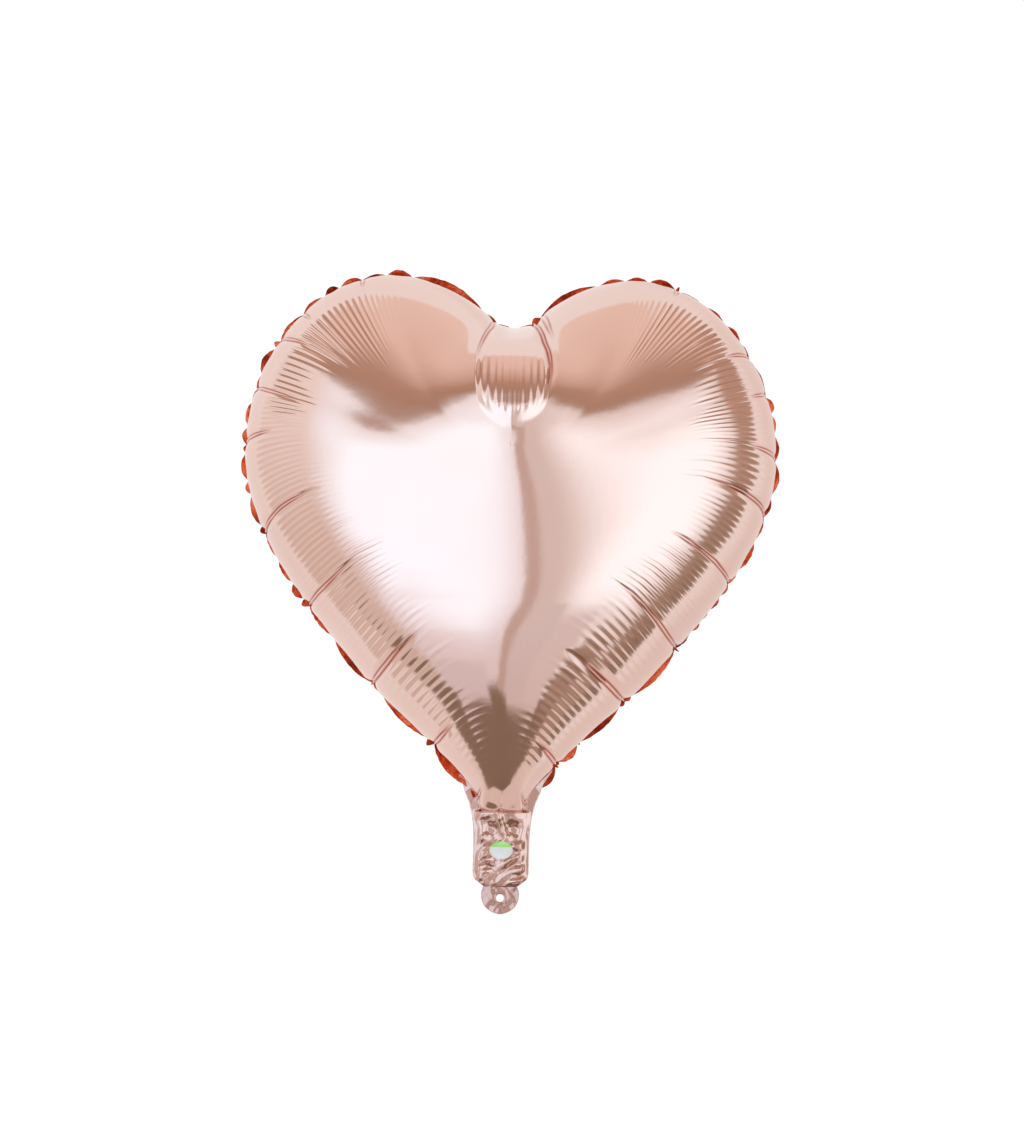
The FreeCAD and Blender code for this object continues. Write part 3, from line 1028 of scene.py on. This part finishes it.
def thickened(piece, thickness):
    """Gives a sheet its thickness, half to each side."""
    solid = piece.modifiers.new("film", "SOLIDIFY")
    solid.thickness = thickness
    solid.offset = 0
    keep_modifiers(piece)


right = margin_side(front_creases["right"], wide_flaps["right"], 31)
left = margin_side(front_creases["left"], wide_flaps["left"], 47) * (-1, 1, 1)
margin_points = np.concatenate([left[:0:-1], right])
margin = mesh_object("welded_margin", margin_points.reshape(-1, 3) * MM,
                     grid_faces(*margin_points.shape[:2]), welded)
thickened(margin, margin_ply * MM)
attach(margin, "envelope")

# ------------------------------------------------------------------------------------------
# The filling tail: the same two sheets run on below the heart as a flat sleeve, welded down
# both sides and crumpled by handling. Its top flares into the web beside the heart's tip.
# ------------------------------------------------------------------------------------------

tail_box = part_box("tail_front_ply")
tail_half = tail_box[1][0] / MM
tail_bottom = tail_box[0][2] / MM
# the web beside the heart's tip: its outer edge down to the neck, and its inner edge up again
web_line = [(33.6, 87), (30.4, 82), (27.2, 77), (25.4, 71), (22.4, 64), (20.6, 57), (19.4, 50)]
web_inside = [(15.5, 60.5), (16.5, 66), (20.0, 74), (26.0, 83)]
tab_waist = 12.6
film_step = 0.75        # mm between the corners of the tail's mesh
film_ply = 0.12


def tail_outline():
    """The tail's outline, anticlockwise from the left of the neck."""
    foot = [(tab_waist - 1.5, tail_bottom - 0.4), (tab_waist + 0.6, tail_bottom + 1.2)]
    corner = [(x, tail_bottom + 3.0 + (1 - math.sin(math.radians(a))) * 6.5)
              for x, a in zip([15.6, 17.2, 18.4, tail_half], [80, 55, 30, 0])]
    side = foot + corner + [(tail_half, 30), (tail_half + 0.2, 42)] + web_line[::-1] + web_inside[::-1]
    left = [(-x, z) for x, z in side]
    loop = np.array(side + [(0, 60.5)] + left[::-1], float)
    closed = np.vstack([loop, loop[:1]])
    count = int(run_length(closed)[-1] / film_step)
    return even_points(closed, count + 1)[:-1]


def crumple(places, spacing, rise, seed):
    """Heights of crumpled film: flat facets between random points, spacing apart."""
    rng = np.random.default_rng(seed)
    low, high = places.min(0) - 2 * spacing, places.max(0) + 2 * spacing
    x, z = np.meshgrid(np.arange(low[0], high[0], spacing), np.arange(low[1], high[1], spacing))
    knots = np.stack([x.ravel(), z.ravel()], 1)
    knots = knots + rng.uniform(-0.45, 0.45, knots.shape) * spacing
    corners, triangles = triangulate(knots)
    heights = rng.uniform(-rise, rise, (len(corners), 1))
    return FlatMap(corners, triangles, heights).at(places)[:, 0]


def tail_height(places, seed, label_pad):
    """How far the tail's film stands out from the middle plane, in mm."""
    x, z = places[:, 0], places[:, 1]
    edge = 17.6 + 0.8 * wander(z + 40 * (x > 0), 6.5, seed + 9)
    seam = eased((edge - np.abs(x)) / 4.6)
    low_part = eased((59.5 - z) / 2)
    body = seam * low_part * eased((z - 8) / 5)
    pad = 1 - label_pad * np.exp(-((x / 9.5) ** 2 + ((z - 32.3) / 7.5) ** 2) ** 2)
    lean = math.radians(24)
    turned = np.stack([x * math.cos(lean) + z * math.sin(lean), z * math.cos(lean) - x * math.sin(lean)], 1)
    drawn_out = turned * (0.55, 1.0)
    height = 0.4 + 1.9 * seam ** 0.7 * low_part * eased((z - 6) / 7)
    height += body * pad * (crumple(drawn_out, 7.0, 1.3, seed) + crumple(places, 4.4, 0.6, seed + 1))
    height += body * (0.4 + 0.6 * pad) * crumple(drawn_out, 2.3, 0.2, seed + 4)
    # slack film hangs in slanting folds with steep undersides, about 8 mm apart
    hang = (z - 0.7 * x) / 8.2 + 0.5 * wander(x + 30, 9, seed + 5)
    tooth = np.minimum((hang % 1) / 0.66, (1 - hang % 1) / 0.34)
    patchy = np.clip(0.55 + crumple(places, 8.0, 0.6, seed + 6), 0, 1)
    height += 2.9 * body * (0.3 + 0.7 * pad) * tooth * patchy * eased((48 - z) / 6)
    height += 0.6 * crumple(places, 7.5, 1.0, seed + 2) * eased((z - 56) / 3)
    neck = np.clip(1 - (x / (neck_half + 2)) ** 2, 0, 1) ** 0.6 * eased((z - 42) / 16)
    height += (neck_puff - 1.2) * neck * low_part
    fold = x + 2.6 - (57 - z) * 0.34
    ridge = np.clip(1.3 - np.abs(fold) / 2.6, 0, 1) * eased((z - 38) / 6) * low_part
    height += 1.6 * ridge
    cups = np.exp(-((np.abs(fold) - 8.0) / 4.8) ** 2) * np.exp(-((z - 45) / 5.5) ** 2)
    height -= 3.2 * cups
    return np.maximum(height, 0.25)


def flat_film(outline, hole=None):
    """A triangle mesh over a flat outline."""
    low, high = outline.min(0), outline.max(0)
    x, z = np.meshgrid(np.arange(low[0], high[0], film_step), np.arange(low[1], high[1], film_step * 0.87))
    x = x + (np.arange(len(z)) % 2)[:, None] * film_step / 2
    grid = np.stack([x.ravel(), z.ravel()], 1)
    grid = grid[inside(grid, outline)]
    grid = grid[nearest_distance(grid, outline) > 0.5 * film_step]
    n = len(outline)
    edges = [(i, (i + 1) % n) for i in range(n)]
    points = [outline]
    if hole is not None:
        grid = grid[~inside(grid, hole)]
        grid = grid[nearest_distance(grid, hole) > 0.5 * film_step]
        edges += [(n + i, n + (i + 1) % len(hole)) for i in range(len(hole))]
        points.append(hole)
    corners, triangles = triangulate(np.vstack(points + [grid]), edges)
    if hole is not None:
        triangles = triangles[~inside(corners[triangles].mean(1), hole)]
    return corners, triangles


# painted shade: the tail is the heart's same film with a darker base colour, for the dimmer reflections among
# its crumpled double layers; it also varies at random in patches
tail_film_painted_darker = film_material("crumpled_rose_gold_film_painted_darker", ("#cca89d", "#dcbab0"), "#a5402a")
outline = tail_outline()
corners, triangles = flat_film(outline)
front_seed, back_seed = 61, 83
# how flat the film lies behind the sticker, on the front and on the back
front_pad, back_pad = 0.8, 0.0
for name, node, side, seed, label_pad in (("tail_front_film", "tail_front_ply", -1, front_seed, front_pad),
                                          ("tail_back_film", "tail_back_ply", 1, back_seed, back_pad)):
    height = tail_height(corners, seed, label_pad)
    points = np.column_stack([corners[:, 0], side * height, corners[:, 1]])
    faces = triangles if side < 0 else triangles[:, ::-1]
    piece = mesh_object(name, points * MM, faces, tail_film_painted_darker)
    thickened(piece, film_ply * MM)
    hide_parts(node)
    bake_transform(piece)

# ------------------------------------------------------------------------------------------
# The hanging tab: the sleeve's welded end, cut round, with a punched hole for a thread.
# ------------------------------------------------------------------------------------------

tab_ply = 0.45
tab_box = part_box("hang_tab")
tab_radius = tab_box[1][0] / MM
tab_middle = tab_box[0][2] / MM + tab_radius
hole_radius = frame["record"]["mounts"][0]["dims"]["r_mm"]
angles = np.linspace(-0.5 * math.pi, 1.5 * math.pi, 96, endpoint=False)
rounding = np.stack([tab_radius * np.cos(angles), tab_middle + tab_radius * np.sin(angles)], 1)
rounding = rounding[rounding[:, 1] < tail_bottom + 1.6]
rounding *= (1 + 0.008 * np.random.default_rng(5).uniform(-1, 1, (len(rounding), 1)))
hole = np.stack([hole_radius * np.cos(angles[::5]), hole_radius * np.sin(angles[::5])], 1)
order = np.argsort(np.arctan2(rounding[:, 0], -(rounding[:, 1] - tab_middle)))
tab_corners, tab_triangles = flat_film(rounding[order], hole)
height = crumple(tab_corners, 5.5, 0.9, 17) + crumple(tab_corners, 2.6, 0.25, 18)
height *= eased((np.hypot(tab_corners[:, 0], tab_corners[:, 1]) - hole_radius) / 3 + 0.3)
tab_points = np.column_stack([tab_corners[:, 0], -height, tab_corners[:, 1]])
# painted shade: the tab is the same film again, with a still darker base colour
tab = mesh_object("hanging_tab_film", tab_points * MM, tab_triangles,
                  film_material("welded_tab_film_painted_darker", ("#b99289", "#cba79e"), "#a5402a"))
thickened(tab, tab_ply * MM)
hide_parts("hang_tab")
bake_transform(tab)

# ------------------------------------------------------------------------------------------
# The sticker: a small oval of coated paper stuck on the tail, silvery white with a green top.
# ------------------------------------------------------------------------------------------

sticker_ply = 0.12
sticker_lift = 0.22         # mm from the film's middle to the paper's
label_low, label_high = (np.array(corner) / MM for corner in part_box("label_sticker"))
label_middle = (label_low + label_high) / 2
label_half = (label_high - label_low) / 2
turns = np.linspace(0, 2 * math.pi, 72, endpoint=False)
oval = np.stack([label_half[0] * np.cos(turns), label_middle[2] + label_half[2] * np.sin(turns)], 1)
label_corners, label_triangles = flat_film(oval)
tail_map = FlatMap(corners, triangles, tail_height(corners, front_seed, front_pad)[:, None])
height = tail_map.at(label_corners)[:, 0] + sticker_lift
label_points = np.column_stack([label_corners[:, 0], -height, label_corners[:, 1]])
# china-clay coated paper: an even half gloss, mottled over a millimetre, which hardly shows
mottle_size = 1.11
coated, tree = new_material("coated_sticker_paper")
place = add_node(tree, "ShaderNodeTexCoord")
upright = add_node(tree, "ShaderNodeSeparateXYZ", [("Vector", place.outputs["Object"])])
share_up = add_node(tree, "ShaderNodeMapRange", [("Value", upright.outputs["Z"])])
share_up.inputs["From Min"].default_value = label_low[2] * MM
share_up.inputs["From Max"].default_value = label_high[2] * MM
printed = add_node(tree, "ShaderNodeValToRGB", [("Fac", share_up.outputs["Result"])])
fill_ramp(printed, [(0.0, linear("#ccd0d2")), (0.66, linear("#c6cacb")), (0.68, linear("#8fcb6e")),
                    (1.0, linear("#a5d98a"))])
mottle = add_node(tree, "ShaderNodeTexNoise", [("Vector", place.outputs["Object"])],
                  scale=1 / (mottle_size * MM), detail=2.0)
bump = add_node(tree, "ShaderNodeBump", [("Height", mottle.outputs["Fac"])],
                strength=0.15, distance=0.2 * MM)
paper = add_node(tree, "ShaderNodeBsdfPrincipled", [("Base Color", printed.outputs["Color"]),
                                                    ("Normal", bump.outputs["Normal"])], roughness=0.38)
add_node(tree, "ShaderNodeOutputMaterial", [("Surface", paper.outputs["BSDF"])])
label = mesh_object("oval_sticker", label_points * MM, label_triangles, coated)
thickened(label, sticker_ply * MM)
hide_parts("label_sticker")
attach(label, "tail")

# ------------------------------------------------------------------------------------------
# The valve: two strips of soft clear polythene film caught in the neck. Gas passes between
# them while the balloon is filled and then presses them shut.
# ------------------------------------------------------------------------------------------

# blown polythene film: clear and limp, faintly streaked every 2 mm by the drawing of it
streak_size = 2.0
polythene, tree = new_material("clear_polythene_film")
place = add_node(tree, "ShaderNodeTexCoord")
drawn = add_node(tree, "ShaderNodeTexNoise", [("Vector", place.outputs["Object"])],
                 scale=1 / (streak_size * MM), detail=2.0)
bump = add_node(tree, "ShaderNodeBump", [("Height", drawn.outputs["Fac"])],
                strength=0.1, distance=0.2 * MM)
clear = add_node(tree, "ShaderNodeBsdfPrincipled", [("Normal", bump.outputs["Normal"])],
                 base_color=linear("#eef1f2"), roughness=0.3, ior=1.51)
clear.inputs["Transmission Weight"].default_value = 0.7
add_node(tree, "ShaderNodeOutputMaterial", [("Surface", clear.outputs["BSDF"])])
for node in ("valve_front_film", "valve_back_film"):
    for slot in frame["nodes"][node].material_slots:
        slot.material = polythene
